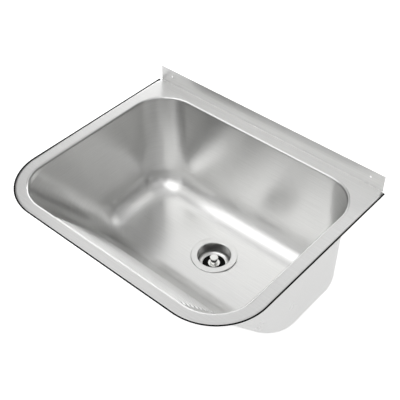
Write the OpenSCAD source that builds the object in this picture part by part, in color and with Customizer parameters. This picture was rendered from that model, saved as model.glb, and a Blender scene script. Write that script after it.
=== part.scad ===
// Wall-fixed stainless steel utility tub with a ribbed scrub slope, a rear upstand
// and a 3 1/2 inch basket waste with a lift-out stopper.
// Origin: midway between the two screw holes, on the upstand's back face.
// +X runs along the wall, +Y points into the wall, +Z is up.

/* [Deck] */
// Length of the flat deck along the wall
deck_l = 600; // [560:1:700]
// Depth of the flat deck from the upstand to the front edge
deck_d = 496; // [470:1:560]
// Radius of the two front corners of the flat deck
deck_corner_r = 110; // [95:1:140]
// Thickness of the steel sheet
sheet_t = 1; // [0.8:0.1:1.2]
// Width of the sloping lip outside the flat deck
lip_w = 4.4; // [3.5:0.1:6]
// Fall of the lip across its width
lip_drop = 0.5; // [0.3:0.1:1]

/* [Upstand] */
// Height of the upstand above the deck
upstand_h = 38; // [34:1:60]
// Inside radius of the bend between deck and upstand
bend_r = 2; // [1.5:0.5:4]
// Radius of the upstand's top corners
upstand_corner_r = 2; // [1:0.5:6]
// Height of the screw holes above the deck
screw_height = 21; // [17:1:25]
// Distance between the two screw holes
screw_spacing = 537; // [500:1:545]
// Diameter of a screw hole
screw_hole_d = 4.6; // [4:0.1:6]

/* [Edge seal] */
// Diameter of the rubber bead round the rim
bead_d = 2.9; // [2:0.1:3.2]
// Width of the tongue that holds the bead under the lip
tongue_w = 3; // [2:0.5:4]
// Thickness of that tongue
tongue_t = 0.8; // [0.6:0.1:1.2]
// Gap between each end of the bead and the upstand
bead_end_gap = 4; // [3:0.5:10]

/* [Bowl] */
// Width of the deck at each side of the opening
side_deck = 20; // [16:0.5:30]
// Width of the deck behind the opening
rear_deck = 26; // [22:0.5:40]
// Width of the deck in front of the opening
front_deck = 17; // [14:0.5:30]
// Corner radius of the opening
opening_r = 88; // [80:1:95]
// Radius of the edge where the deck turns down into the bowl
draw_r = 5; // [3:0.5:8]
// Depth of the bowl below the deck
bowl_depth = 265; // [240:1:290]
// Slope of the side and rear walls off the vertical, in degrees
wall_draft = 1; // [0.5:0.5:2]
// Radius between the walls and the floor
floor_r = 58; // [45:1:64]
// Slope of the front wall above the horizontal, in degrees
front_slope = 51; // [48:1:60]
// Depth at which the front wall leaves the vertical
slope_start = 14; // [10:1:24]

/* [Scrub ribs] */
// Number of ribs pressed into the front slope
rib_count = 9; // [5:1:9]
// Distance from one rib to the next, down the slope
rib_pitch = 18.4; // [14:0.2:18.6]
// Height of a rib
rib_h = 3; // [1.5:0.5:4]
// Length of a rib
rib_len = 344; // [240:2:350]
// Length over which a rib fades out at each end
rib_fade = 7; // [4:1:12]
// Distance down the slope from its top to the first rib
rib_first = 30; // [20:1:34]

/* [Waste] */
// Distance from the upstand's front face to the middle of the waste
waste_setback = 162; // [150:1:175]
// Diameter of the hole in the bowl floor
waste_hole_d = 89; // [88:0.5:92]
// Diameter of the flange in the bowl
flange_d = 107; // [104:0.5:114]
// Thickness of the flange
flange_t = 1.4; // [1:0.1:2]
// Diameter of the mouth of the cup
mouth_d = 76; // [72:0.5:77]
// Depth of the stopper's seat below the bowl floor
seat_depth = 30; // [26:0.5:32]
// Radius at the bottom of the cup
cup_r = 9; // [6:0.5:10]
// Diameter over the thread of the cup
cup_thread_d = 82; // [81:0.5:84]
// Diameter over the thread of the outlet neck
neck_thread_d = 48; // [47:0.5:50]
// Bore of the outlet neck
neck_bore_d = 41; // [38:0.5:42]
// Length of the neck below the stopper's seat
neck_l = 33; // [30:1:45]
// Pitch of both threads
thread_pitch = 2; // [1.5:0.5:3]
// Thickness of the gasket between flange and floor
top_gasket_t = 1; // [0.8:0.1:2]
// Thickness of the rubber gasket under the floor
under_gasket_t = 3; // [2:0.5:4]
// Thickness of the friction washer
friction_t = 1; // [0.8:0.1:1.5]
// Height of the large lock nut
lock_nut_h = 12; // [8:1:14]
// Outside diameter of the large lock nut, without its lugs
lock_nut_d = 104; // [98:1:112]
// Diameter of the tailpiece
tail_d = 38; // [34:0.5:40]
// Wall of the tailpiece
tail_wall = 1.5; // [1:0.1:2]
// Length of the tailpiece below the neck
tail_l = 78; // [65:1:140]
// Outside diameter of the coupling nut, without its lugs
coupling_d = 57; // [55:1:64]

/* [Stopper] */
// Diameter of the rubber disc
disc_d = 53; // [50:0.5:54]
// Thickness of the rubber disc
disc_t = 4; // [3:0.5:6]
// Height of the knob above the disc
knob_h = 20; // [16:0.5:20]
// Diameter of the knob's head
knob_head_d = 19.4; // [17:0.2:24]
// Diameter of the knob's neck
knob_neck_d = 16; // [12:0.5:16]
// Diameter of the steel ring under the knob
ring_d = 28; // [24:0.5:34]
// Thickness of that ring
ring_t = 2.2; // [1.5:0.1:3]
// Diameter of the stem
stem_d = 8; // [6:0.5:9]
// Depth of the strainer plate below the stopper's seat
strainer_drop = 9; // [9:0.5:12]
// Thickness of the strainer plate
strainer_t = 1.5; // [1:0.1:2]

/* [Sound pads] */
// Width of each pad under the floor
pad_w = 110; // [80:1:120]
// Depth of each pad under the floor
pad_d = 120; // [80:1:130]
// Thickness of a pad
pad_t = 3; // [2:0.5:5]
// Distance from the middle of the waste to each pad's near edge
pad_gap = 75; // [70:1:85]

/* [Hidden] */
$fn = 96;
through = 1;              // how far a cut runs past the face it opens
steel = [0.80, 0.81, 0.81];
bright_steel = [0.88, 0.88, 0.87];
black_rubber = [0.05, 0.05, 0.05];
grey_rubber = [0.30, 0.30, 0.31];
white_plastic = [0.90, 0.90, 0.88];
fibre = [0.72, 0.55, 0.36];

// Clearances
slide_gap = 0.08;         // stem in its guide
thread_gap = 0.1;         // nut on its thread
seat_gap = 0.3;           // rubber disc above its seat
bore_gap = 0.05;          // pieces threaded on the stem
gasket_gap = 0.5;         // rings round the waste body

// Bowl sections
opening_x = deck_l / 2 - side_deck;
opening_rear = -rear_deck;
opening_front = front_deck - deck_d;
fillet_top = floor_r * (1 - sin(wall_draft)) - bowl_depth;
wall_foot_inset = draw_r + (-fillet_top - draw_r) * tan(wall_draft);
floor_inset = wall_foot_inset + floor_r * cos(wall_draft);
front_fillet_top = floor_r * (1 - cos(front_slope)) - bowl_depth;
front_foot_inset = draw_r + (-front_fillet_top - slope_start) / tan(front_slope);
front_floor_inset = front_foot_inset + floor_r * sin(front_slope);
corner_steps = 8;
draw_steps = 3;
fillet_steps = 7;
rows_per_rib = 4;

// Waste heights, measured from the bowl floor's top surface
flange_top = top_gasket_t + flange_t;
mouth_r = mouth_d / 2;
mouth_round = 2.5;
cup_taper = 0.6;
seat_r = mouth_r - cup_r - cup_taper;
cup_wall_t = 2;
neck_end = -seat_depth - neck_l;
pocket_step = 1.5;
pocket_r = neck_bore_d / 2 + pocket_step;
plate_top = -seat_depth - strainer_drop;
friction_top = -sheet_t - under_gasket_t;
lock_nut_top = friction_top - friction_t;
tail_washer_t = 2.5;
tail_flange_t = 2;
tail_flange_step = 1;
tail_flange_r = neck_thread_d / 2 - tail_flange_step;
tail_flange_top = neck_end - tail_washer_t;
tail_end = neck_end - tail_l;
coupling_grip = 12;
coupling_web_t = 3;
coupling_foot = tail_flange_top - tail_flange_t - coupling_web_t;
tail_root_step = 0.8;     // the tube is wider by this much where the nut's web holds it
tail_root_r = tail_d / 2 + tail_root_step;
tail_root_foot = coupling_foot - 1.5;
tail_root_taper = 1.5;
thread_depth = 0.8;
lug_root = 1;             // how far a nut's lugs start inside its rim
guide_l = 9;
guide_d = stem_d + 4;

// Stopper heights, measured from the bowl floor's top surface
disc_foot = seat_gap - seat_depth;
disc_top = disc_foot + disc_t;
knob_top = disc_top + knob_h;
knob_head_h = 4.5;
knob_bore_h = 12;
stopper_washer_d = 22;
stopper_washer_t = 1.2;
stopper_nut_h = 4.5;
stopper_nut_af = 13;
stem_below_guide = 4;
stem_end = plate_top - strainer_t - guide_l - stem_below_guide;

// ---- Bowl surface ----

// Inset of the side and rear walls from the opening's edge at height z
function wall_inset(z) =
    z > -draw_r ? sqrt(pow(draw_r, 2) - pow(draw_r + z, 2))
    : z > fillet_top ? draw_r + (-z - draw_r) * tan(wall_draft)
    : floor_inset - floor_r * sin(acos(1 - (z + bowl_depth) / floor_r));

// Inset of the front wall from the opening's edge at height z
function front_inset(z) =
    z > -draw_r ? sqrt(pow(draw_r, 2) - pow(draw_r + z, 2))
    : z > -slope_start ? draw_r
    : z > front_fillet_top ? draw_r + (-z - slope_start) / tan(front_slope)
    : front_floor_inset - floor_r * sin(acos(1 - (z + bowl_depth) / floor_r));

// Height of the ribs at a distance down the slope
function rib_height(down) =
    let (from_first = (down - rib_first) / rib_pitch)
    from_first < -0.5 || from_first > rib_count - 0.5 ? 0
    : rib_h * (1 + cos(360 * from_first)) / 2;

// One rounded-rectangle section of the bowl's inside at height z
function section(z) =
    let (
        x = opening_x - wall_inset(z),
        rear = opening_rear - wall_inset(z),
        front = opening_front + front_inset(z),
        r = opening_r - wall_inset(z),
        rib = rib_height((-z - slope_start) / sin(front_slope)) / sin(front_slope),
        half = rib_len / 2
    )
    concat(
        [[-half, front, z], [rib_fade - half, front + rib, z]],
        [[half - rib_fade, front + rib, z], [half, front, z]],
        [for (i = [0 : corner_steps]) let (a = 90 * i / corner_steps)
            [x - r + r * sin(a), front + r - r * cos(a), z]],
        [for (i = [0 : corner_steps]) let (a = 90 * i / corner_steps)
            [x - r + r * cos(a), rear - r + r * sin(a), z]],
        [for (i = [0 : corner_steps]) let (a = 90 * i / corner_steps)
            [-x + r - r * sin(a), rear - r + r * cos(a), z]],
        [for (i = [0 : corner_steps]) let (a = 90 * i / corner_steps)
            [-x + r - r * cos(a), front + r - r * sin(a), z]]
    );

// Heights of the sections: the drawn edge, the ribs, the slope and the floor radius
rib_rows = [for (i = [0 : rib_count * rows_per_rib])
    -slope_start - (rib_first + (i / rows_per_rib - 0.5) * rib_pitch) * sin(front_slope)];
last_rib_z = rib_rows[len(rib_rows) - 1];
row_z = concat(
    [for (i = [0 : draw_steps]) draw_r * (cos(90 * i / draw_steps) - 1)],
    [-slope_start],
    rib_rows,
    [(last_rib_z + fillet_top) / 2],
    [for (i = [0 : fillet_steps])
        floor_r * (1 - cos((90 - wall_draft) * (1 - i / fillet_steps))) - bowl_depth]
);
inside = [for (z = row_z) section(z)];
rows = len(inside);
cols = len(inside[0]);

// Direction out of the bowl at one point of its inside surface
function out_of(row, col) =
    row == 0 || row == rows - 1 ? [0, 0, -1]
    : let (
        down = inside[row + 1][col] - inside[row - 1][col],
        along = inside[row][(col + 1) % cols] - inside[row][(col + cols - 1) % cols],
        n = cross(down, along)
    )
    n / norm(n);

// ---- Placing ----

// Deck frame: z = 0 on the deck's top, y = 0 on the upstand's front face
module at_deck() {
    translate([0, -sheet_t, -screw_height]) children();
}

// Waste frame: z = 0 on the floor's top, on the axis of the waste
module at_waste() {
    at_deck() translate([0, -waste_setback, -bowl_depth]) children();
}

// ---- Shared shapes ----

// Flat ring between two radii, from z = low to z = high
module ring(outer_r, inner_r, low, high) {
    difference() {
        translate([0, 0, low]) cylinder(h = high - low, r = outer_r);
        translate([0, 0, low - through]) cylinder(h = high - low + 2 * through, r = inner_r);
    }
}

// Lugs round a nut, for a spanner
module lugs(count, root_r, tip_r, width, low, high) {
    for (i = [0 : count - 1]) {
        rotate([0, 0, 360 * i / count])
            translate([root_r, -width / 2, low]) cube([tip_r - root_r, width, high - low]);
    }
}

// Outline of a thread cut, going down at radius r, as [radius, z] points
function thread(r, top, foot) =
    let (turns = floor((top - foot) / thread_pitch))
    [for (i = [0 : turns - 1], side = [0, 1])
        [r - side * thread_depth, top - (i + side / 2) * thread_pitch]];

// Quarter arc as [radius, z] points, from angle a to angle b
function arc(centre, r, a, b, steps) =
    [for (i = [0 : steps]) let (t = a + (b - a) * i / steps) centre + r * [cos(t), sin(t)]];

// Flat deck outline with two rounded front corners
module deck_outline() {
    x = deck_l / 2;
    r = deck_corner_r;
    translate([-x, r - deck_d]) square([deck_l, deck_d - r - bend_r]);
    translate([r - x, -deck_d]) square([deck_l - 2 * r, r + through]);
    for (side = [-1, 1]) {
        translate([side * (x - r), r - deck_d]) circle(r);
    }
}

// Carries a 2D edge section round the left, front and right of the deck.
// The section's x is the distance outside the flat deck and its y is the height.
module round_rim(end_gap) {
    x = deck_l / 2;
    r = deck_corner_r;
    side_l = deck_d - r - end_gap;
    translate([x, -end_gap, 0]) rotate([90, 0, 0]) linear_extrude(side_l) children();
    mirror([1, 0, 0])
        translate([x, -end_gap, 0]) rotate([90, 0, 0]) linear_extrude(side_l) children();
    translate([r - x, -deck_d, 0]) rotate([90, 0, 90]) linear_extrude(deck_l - 2 * r)
        mirror([1, 0]) children();
    for (side = [0, 1]) {
        mirror([side, 0, 0]) translate([x - r, r - deck_d, 0]) rotate([0, 0, -90])
            rotate_extrude(angle = 90) translate([r, 0]) children();
    }
}

// ---- Sheet metal ----

// Pressed bowl: one sheet with the scrub ribs in its front slope and a hole for the waste
module bowl() {
    outside = [for (i = [0 : rows - 1]) [for (j = [0 : cols - 1])
        inside[i][j] + sheet_t * out_of(i, j)]];
    skins = concat(inside, [for (i = [rows - 1 : -1 : 0]) outside[i]]);
    loops = 2 * rows;
    strips = [for (i = [0 : loops - 1], j = [0 : cols - 1])
        if (i != rows - 1)
            let (
                a = i * cols + j,
                b = i * cols + (j + 1) % cols,
                c = ((i + 1) % loops) * cols + (j + 1) % cols,
                d = ((i + 1) % loops) * cols + j
            )
            each [[a, c, b], [a, d, c]]];
    // The floor is a fan of triangles on each side, round a point that the hole removes
    points = concat(
        [for (loop = skins) each loop],
        [[0, -waste_setback, -bowl_depth], [0, -waste_setback, -bowl_depth - sheet_t]]
    );
    floor_top = [for (j = [0 : cols - 1])
        [(rows - 1) * cols + j, loops * cols, (rows - 1) * cols + (j + 1) % cols]];
    floor_under = [for (j = [0 : cols - 1])
        [rows * cols + (j + 1) % cols, loops * cols + 1, rows * cols + j]];
    color(steel) at_deck() difference() {
        polyhedron(points, concat(strips, floor_top, floor_under));
        translate([0, -waste_setback, -bowl_depth - sheet_t - through])
            cylinder(h = sheet_t + 2 * through, d = waste_hole_d);
    }
}

// Section of the lip: a band that falls gently from the deck's edge
module lip_section() {
    r = (pow(lip_w, 2) + pow(lip_drop, 2)) / (2 * lip_drop);
    intersection() {
        translate([0, -r]) difference() {
            circle(r);
            circle(r - sheet_t);
        }
        translate([0, -lip_drop - sheet_t - through])
            square([lip_w, lip_drop + sheet_t + 2 * through]);
    }
}

// Flat deck with its opening, and the lip on three sides
module deck() {
    color(steel) at_deck() {
        translate([0, 0, -sheet_t]) linear_extrude(sheet_t) difference() {
            deck_outline();
            polygon([for (p = inside[0]) [p[0], p[1]]]);
        }
        round_rim(bend_r) lip_section();
    }
}

// Folded strip at the back: the bend that joins the deck, and the upright with its holes
module rear_upstand() {
    x = deck_l / 2;
    r = upstand_corner_r;
    color(steel) at_deck() {
        translate([-x, 0, 0]) rotate([90, 0, 90]) linear_extrude(deck_l) intersection() {
            translate([-bend_r, bend_r]) difference() {
                circle(bend_r + sheet_t);
                circle(bend_r);
            }
            translate([-bend_r, -sheet_t]) square(bend_r + sheet_t);
        }
        difference() {
            translate([0, sheet_t, 0]) rotate([90, 0, 0]) linear_extrude(sheet_t) {
                translate([-x, bend_r]) square([deck_l, upstand_h - bend_r - r]);
                translate([r - x, upstand_h - r - through])
                    square([deck_l - 2 * r, r + through]);
                for (side = [-1, 1]) {
                    translate([side * (x - r), upstand_h - r]) circle(r);
                }
            }
            for (side = [-1, 1]) {
                translate([side * screw_spacing / 2, sheet_t + through, screw_height])
                    rotate([90, 0, 0]) cylinder(h = sheet_t + 2 * through, d = screw_hole_d);
            }
        }
    }
}

// Rubber bead outside the lip, with a tongue that grips the lip's underside
module edge_seal() {
    bead_x = lip_w + bead_d / 2;
    bead_z = -lip_drop - sheet_t / 2;
    color(black_rubber) at_deck() {
        round_rim(bead_end_gap) {
            translate([bead_x, bead_z]) circle(d = bead_d, $fn = 32);
            translate([lip_w - tongue_w, -lip_drop - sheet_t - tongue_t])
                square([tongue_w + bead_d / 2, tongue_t]);
        }
        for (side = [-1, 1]) {
            translate([side * (deck_l / 2 + bead_x), -bead_end_gap, bead_z])
                sphere(d = bead_d, $fn = 32);
        }
    }
}

// Two damping pads stuck under the floor, left and right of the waste
module sound_pads() {
    color(grey_rubber) at_waste() {
        for (side = [-1, 1]) {
            translate([side * (pad_gap + pad_w / 2), 0, -sheet_t - pad_t / 2])
                cube([pad_w, pad_d, pad_t], center = true);
        }
    }
}

// ---- Waste ----

// Flange, cup and threaded outlet neck in one turned piece
module waste_body() {
    r_flange = flange_d / 2;
    r_thread = cup_thread_d / 2;
    r_neck = neck_thread_d / 2;
    inner = concat(
        [[neck_bore_d / 2, neck_end], [neck_bore_d / 2, plate_top - strainer_t]],
        [[pocket_r, plate_top - strainer_t], [pocket_r, -seat_depth]],
        arc([seat_r, cup_r - seat_depth], cup_r, -90, 0, 8),
        arc([mouth_r + mouth_round, flange_top - mouth_round], mouth_round, 180, 90, 5)
    );
    rim = concat(
        arc([r_flange - flange_t, top_gasket_t], flange_t, 90, 0, 4),
        [[r_flange, top_gasket_t / 2], [r_flange - flange_t / 2, top_gasket_t / 2]],
        [[r_flange - flange_t / 2, top_gasket_t], [r_thread, top_gasket_t]]
    );
    outer = concat(
        thread(r_thread, -sheet_t, -seat_depth + cup_r / 2),
        [[r_thread - thread_depth, cup_r / 2 - seat_depth]],
        [[seat_r + cup_wall_t, -seat_depth - cup_wall_t], [r_neck, -seat_depth - cup_wall_t]],
        thread(r_neck, -seat_depth - 2 * cup_wall_t, neck_end),
        [[r_neck - thread_depth, neck_end]]
    );
    color(bright_steel) at_waste() rotate_extrude() polygon(concat(inner, rim, outer));
}

// Thin rubber ring between the flange and the floor
module top_gasket() {
    color(black_rubber) at_waste()
        ring(flange_d / 2 - flange_t, waste_hole_d / 2, 0, top_gasket_t);
}

// Rubber gasket that seals under the floor
module under_gasket() {
    color(black_rubber) at_waste()
        ring(lock_nut_d / 2, cup_thread_d / 2 + gasket_gap, friction_top, -sheet_t);
}

// Fibre ring that lets the lock nut turn without dragging the gasket
module friction_washer() {
    color(fibre) at_waste()
        ring(lock_nut_d / 2, cup_thread_d / 2 + gasket_gap, lock_nut_top, friction_top);
}

// Large ring nut that clamps the cup to the floor
module lock_nut() {
    lug_count = 8;
    lug_l = 4;
    lug_w = 10;
    lug_step = 1;
    color(white_plastic) at_waste() {
        ring(lock_nut_d / 2, cup_thread_d / 2 + thread_gap, lock_nut_top - lock_nut_h, lock_nut_top);
        lugs(lug_count, lock_nut_d / 2 - lug_root, lock_nut_d / 2 + lug_l, lug_w,
            lock_nut_top - lock_nut_h, lock_nut_top - lug_step);
    }
}

// Perforated plate in the neck, with the sleeve that guides the stopper's stem
module strainer_plate() {
    hole_d = 4.5;
    outer_holes = 12;
    inner_holes = 6;
    rim_web = 2.25;           // metal between the outer holes and the neck's bore
    color(bright_steel) at_waste() difference() {
        union() {
            translate([0, 0, plate_top - strainer_t])
                cylinder(h = strainer_t, r = pocket_r - bore_gap);
            translate([0, 0, plate_top - strainer_t - guide_l]) cylinder(h = guide_l, d = guide_d);
        }
        translate([0, 0, plate_top - strainer_t - guide_l - through])
            cylinder(h = guide_l + strainer_t + 2 * through, r = stem_d / 2 + slide_gap);
        for (i = [0 : outer_holes - 1]) {
            rotate([0, 0, 360 * i / outer_holes])
                translate([(neck_bore_d - hole_d) / 2 - rim_web, 0, plate_top - strainer_t - through])
                    cylinder(h = strainer_t + 2 * through, d = hole_d, $fn = 32);
        }
        for (i = [0 : inner_holes - 1]) {
            rotate([0, 0, 360 * (i / inner_holes + 0.5 / outer_holes)])
                translate([(guide_d + hole_d) / 2 + 1, 0, plate_top - strainer_t - through])
                    cylinder(h = strainer_t + 2 * through, d = hole_d, $fn = 32);
        }
    }
}

// Rubber ring between the neck and the tailpiece
module tailpiece_washer() {
    color(black_rubber) at_waste()
        ring(tail_flange_r, tail_d / 2 + bore_gap, tail_flange_top, neck_end);
}

// Flanged outlet tube that goes on to a trap, a little wider inside the nut
module tailpiece() {
    bore_r = tail_d / 2 - tail_wall;
    flange_foot = tail_flange_top - tail_flange_t;
    taper_foot = tail_root_foot - tail_root_taper;
    outline = [
        [bore_r, tail_end], [tail_d / 2, tail_end],
        [tail_d / 2, taper_foot], [tail_root_r, tail_root_foot],
        [tail_root_r, flange_foot], [tail_flange_r, flange_foot],
        [tail_flange_r, tail_flange_top], [bore_r, tail_flange_top]
    ];
    color(bright_steel) at_waste() rotate_extrude() polygon(outline);
}

// Nut that pulls the tailpiece's flange up against the neck
module coupling_nut() {
    lug_count = 6;
    lug_l = 3;
    lug_w = 8;
    top = neck_end + coupling_grip;
    web_top = tail_flange_top - tail_flange_t;
    color(white_plastic) at_waste() {
        ring(coupling_d / 2, neck_thread_d / 2 + thread_gap, web_top, top);
        ring(coupling_d / 2, tail_root_r + thread_gap, coupling_foot, web_top);
        lugs(lug_count, coupling_d / 2 - lug_root, coupling_d / 2 + lug_l, lug_w, coupling_foot, top);
    }
}

// ---- Stopper ----

// Rubber disc that closes the seat
module stopper_disc() {
    edge = 0.8;
    r = disc_d / 2;
    bore = stem_d / 2 + bore_gap;
    color(black_rubber) at_waste() rotate_extrude() polygon([
        [bore, disc_foot], [r - edge, disc_foot], [r, disc_foot + edge],
        [r, disc_top - edge], [r - edge, disc_top], [bore, disc_top],
    ]);
}

// Steel ring that spreads the knob's pull on the rubber
module stopper_ring() {
    edge = 0.8;
    bore = stem_d / 2 + bore_gap;
    top = disc_top + ring_t;
    color(bright_steel) at_waste() rotate_extrude() polygon(concat(
        [[bore, disc_top], [ring_d / 2, disc_top]],
        arc([ring_d / 2 - edge, top - edge], edge, 0, 90, 4),
        [[bore, top]]
    ));
}

// Knob: a neck under a wider rounded head, bored from below for the stem
module stopper_knob() {
    edge = 1.2;
    foot = disc_top + ring_t;
    neck_r = knob_neck_d / 2;
    head_r = knob_head_d / 2;
    bore = stem_d / 2 + bore_gap;
    head_foot = knob_top - knob_head_h;
    color(bright_steel) at_waste() rotate_extrude() polygon(concat(
        [[bore, foot], [neck_r - edge / 2, foot], [neck_r, foot + edge / 2], [neck_r, head_foot - edge]],
        arc([head_r - edge, head_foot], edge, -90, 0, 4),
        arc([head_r - edge, knob_top - edge], edge, 0, 90, 5),
        [[0, knob_top], [0, foot + knob_bore_h], [bore, foot + knob_bore_h]]
    ));
}

// Stem through the disc, guided by the strainer plate
module stopper_stem() {
    tip = 1;
    r = stem_d / 2;
    top = disc_top + ring_t + knob_bore_h;
    color(bright_steel) at_waste() rotate_extrude() polygon([
        [0, stem_end], [r - tip, stem_end], [r, stem_end + tip], [r, top], [0, top],
    ]);
}

// Washer under the rubber disc
module stopper_washer() {
    color(bright_steel) at_waste()
        ring(stopper_washer_d / 2, stem_d / 2 + bore_gap, disc_foot - stopper_washer_t, disc_foot);
}

// Hexagon nut that clamps the stopper together
module stopper_nut() {
    top = disc_foot - stopper_washer_t;
    color(bright_steel) at_waste() difference() {
        translate([0, 0, top - stopper_nut_h])
            cylinder(h = stopper_nut_h, d = stopper_nut_af / cos(30), $fn = 6);
        translate([0, 0, top - stopper_nut_h - through])
            cylinder(h = stopper_nut_h + 2 * through, r = stem_d / 2 + bore_gap);
    }
}

bowl();
deck();
rear_upstand();
edge_seal();
sound_pads();
waste_body();
top_gasket();
under_gasket();
friction_washer();
lock_nut();
strainer_plate();
tailpiece_washer();
tailpiece();
coupling_nut();
stopper_disc();
stopper_ring();
stopper_knob();
stopper_stem();
stopper_washer();
stopper_nut();
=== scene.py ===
import math

import bmesh
import bpy
import numpy as np
from mathutils import Matrix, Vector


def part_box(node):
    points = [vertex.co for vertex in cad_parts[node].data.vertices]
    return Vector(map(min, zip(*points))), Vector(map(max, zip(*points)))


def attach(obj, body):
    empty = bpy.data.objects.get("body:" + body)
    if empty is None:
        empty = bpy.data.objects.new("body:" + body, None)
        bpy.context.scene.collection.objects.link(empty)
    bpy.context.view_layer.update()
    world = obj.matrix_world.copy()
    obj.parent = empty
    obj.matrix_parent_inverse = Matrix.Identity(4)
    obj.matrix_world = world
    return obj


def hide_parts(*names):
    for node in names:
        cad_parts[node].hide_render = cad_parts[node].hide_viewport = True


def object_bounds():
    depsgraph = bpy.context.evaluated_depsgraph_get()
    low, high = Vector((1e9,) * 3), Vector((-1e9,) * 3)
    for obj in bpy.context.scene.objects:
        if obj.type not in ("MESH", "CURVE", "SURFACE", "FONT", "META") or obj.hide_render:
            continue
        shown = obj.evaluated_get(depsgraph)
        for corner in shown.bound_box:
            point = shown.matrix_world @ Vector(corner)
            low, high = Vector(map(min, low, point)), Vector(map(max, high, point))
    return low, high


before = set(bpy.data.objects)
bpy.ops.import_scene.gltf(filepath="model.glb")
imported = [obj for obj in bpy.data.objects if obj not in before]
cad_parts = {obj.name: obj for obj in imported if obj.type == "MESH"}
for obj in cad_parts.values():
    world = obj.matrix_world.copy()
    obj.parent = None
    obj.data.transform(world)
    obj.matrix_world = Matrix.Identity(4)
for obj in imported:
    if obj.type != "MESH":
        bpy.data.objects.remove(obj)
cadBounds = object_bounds()

# Lengths below are in millimetres in the tub's own frame:
# x along the wall, y = 0 on the upstand's front face, z = 0 on the deck's top.
mm = 0.001
tub = {
    "sheet": 1.0,             # steel sheet
    "deckLength": 600.0,      # flat deck, without its lip
    "deckDepth": 496.0,
    "deckCorner": 110.0,
    "bend": 2.0,              # inside radius where the upstand starts
    "lipWidth": 4.4,
    "lipDrop": 0.5,
    "lipSteps": 7,
    "deckRows": (0, 0.04, 0.2, 0.4, 0.6, 0.8, 0.96, 1),   # shares of the way to the outline
}
deckHalf = tub["deckLength"] / 2
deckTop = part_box("deck")[1].z / mm
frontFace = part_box("rear_upstand")[1].y / mm - tub["sheet"]
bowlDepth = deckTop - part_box("bowl")[0].z / mm - tub["sheet"]


def place(x, y, z):
    # Tub millimetres to frame metres
    x, y, z = np.broadcast_arrays(x, y, z)
    return np.stack([x, y + frontFace, z + deckTop], -1) * mm


def inBetween(first, last, steps):
    # Evenly spaced values between two ends, without the ends
    return np.linspace(first, last, steps + 1)[1:-1]


def runningLength(points):
    # Distance along a row of points, from its first
    steps = np.linalg.norm(np.diff(points, axis=0), axis=1)
    return np.concatenate([[0], np.cumsum(steps)])


def cellCorners(values):
    # Values on a grid's points, gathered for the four corners of each cell
    return np.stack([values[:-1, :-1], values[:-1, 1:], values[1:, 1:], values[1:, :-1]], -2)


def gridPiece(name, points, closedAcross=False, closedDown=False, brush=None):
    # Four-sided faces between neighbouring points of a rows x columns grid
    rows, cols = points.shape[:2]
    down = rows if closedDown else rows - 1
    across = cols if closedAcross else cols - 1
    i, j = np.meshgrid(np.arange(down), np.arange(across), indexing="ij")
    a, b = i * cols, (i + 1) % rows * cols
    k = (j + 1) % cols
    faces = np.stack([a + j, a + k, b + k, b + j], -1).reshape(-1, 4)
    mesh = bpy.data.meshes.new(name)
    mesh.from_pydata(points.reshape(-1, 3).tolist(), [], faces.tolist())
    mesh.polygons.foreach_set("use_smooth", np.ones(len(faces), bool))
    if brush is not None:
        layer = mesh.uv_layers.new(name="brush")
        layer.data.foreach_set("uv", brush.reshape(-1).astype(np.float32))
    piece = bpy.data.objects.new(name, mesh)
    bpy.context.collection.objects.link(piece)
    return piece


def closeSeams(piece, turnOutwards=True):
    # Merges doubled points at poles and seams, then turns a closed shape's faces outwards
    mesh = bmesh.new()
    mesh.from_mesh(piece.data)
    bmesh.ops.remove_doubles(mesh, verts=mesh.verts, dist=1e-6)
    if turnOutwards:
        bmesh.ops.recalc_face_normals(mesh, faces=mesh.faces)
    mesh.to_mesh(piece.data)
    mesh.free()


def keepFlats(piece):
    # Flat faces beside small rounds keep their own shading
    flats = piece.modifiers.new("flats", "WEIGHTED_NORMAL")
    flats.weight = 90


def thickenSheet(piece):
    # Gives a grid the sheet's thickness, behind its shown side
    shell = piece.modifiers.new("sheet", "SOLIDIFY")
    shell.thickness = tub["sheet"] * mm
    shell.offset = -1
    shell.use_even_offset = True
    return shell


def finishPiece(piece, body, finish, stands):
    # Gives a piece its material, the body it moves with and the nodes it stands for
    piece.data.materials.append(finish)
    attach(piece, body)
    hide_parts(*stands)


def roundedLoop(halfX, rear, front, radius, frontX, cornerSteps, rearSteps, sideSteps):
    # A rounded rectangle, anticlockwise from the front left: four straights joined by
    # quarter circles. The four sizes are columns, one value for each row of a surface.
    turn = np.linspace(0, math.pi / 2, cornerSteps + 1)[None, :]
    along = inBetween(0, 1, sideSteps)[None, :]
    across = inBetween(1, -1, rearSteps)[None, :]
    cx, cyFront, cyRear = halfX - radius, front + radius, rear - radius
    s, c = radius * np.sin(turn), radius * np.cos(turn)
    xs = [frontX + 0 * halfX, cx + s, halfX + 0 * along, cx + c, cx * across,
          -cx - s, -halfX + 0 * along, -cx - c]
    ys = [front + 0 * frontX, cyFront - c, cyFront + (cyRear - cyFront) * along, cyRear + s,
          rear + 0 * across, cyRear + c, cyRear - (cyRear - cyFront) * along, cyFront - s]
    return np.concatenate(xs, 1), np.concatenate(ys, 1)


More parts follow.
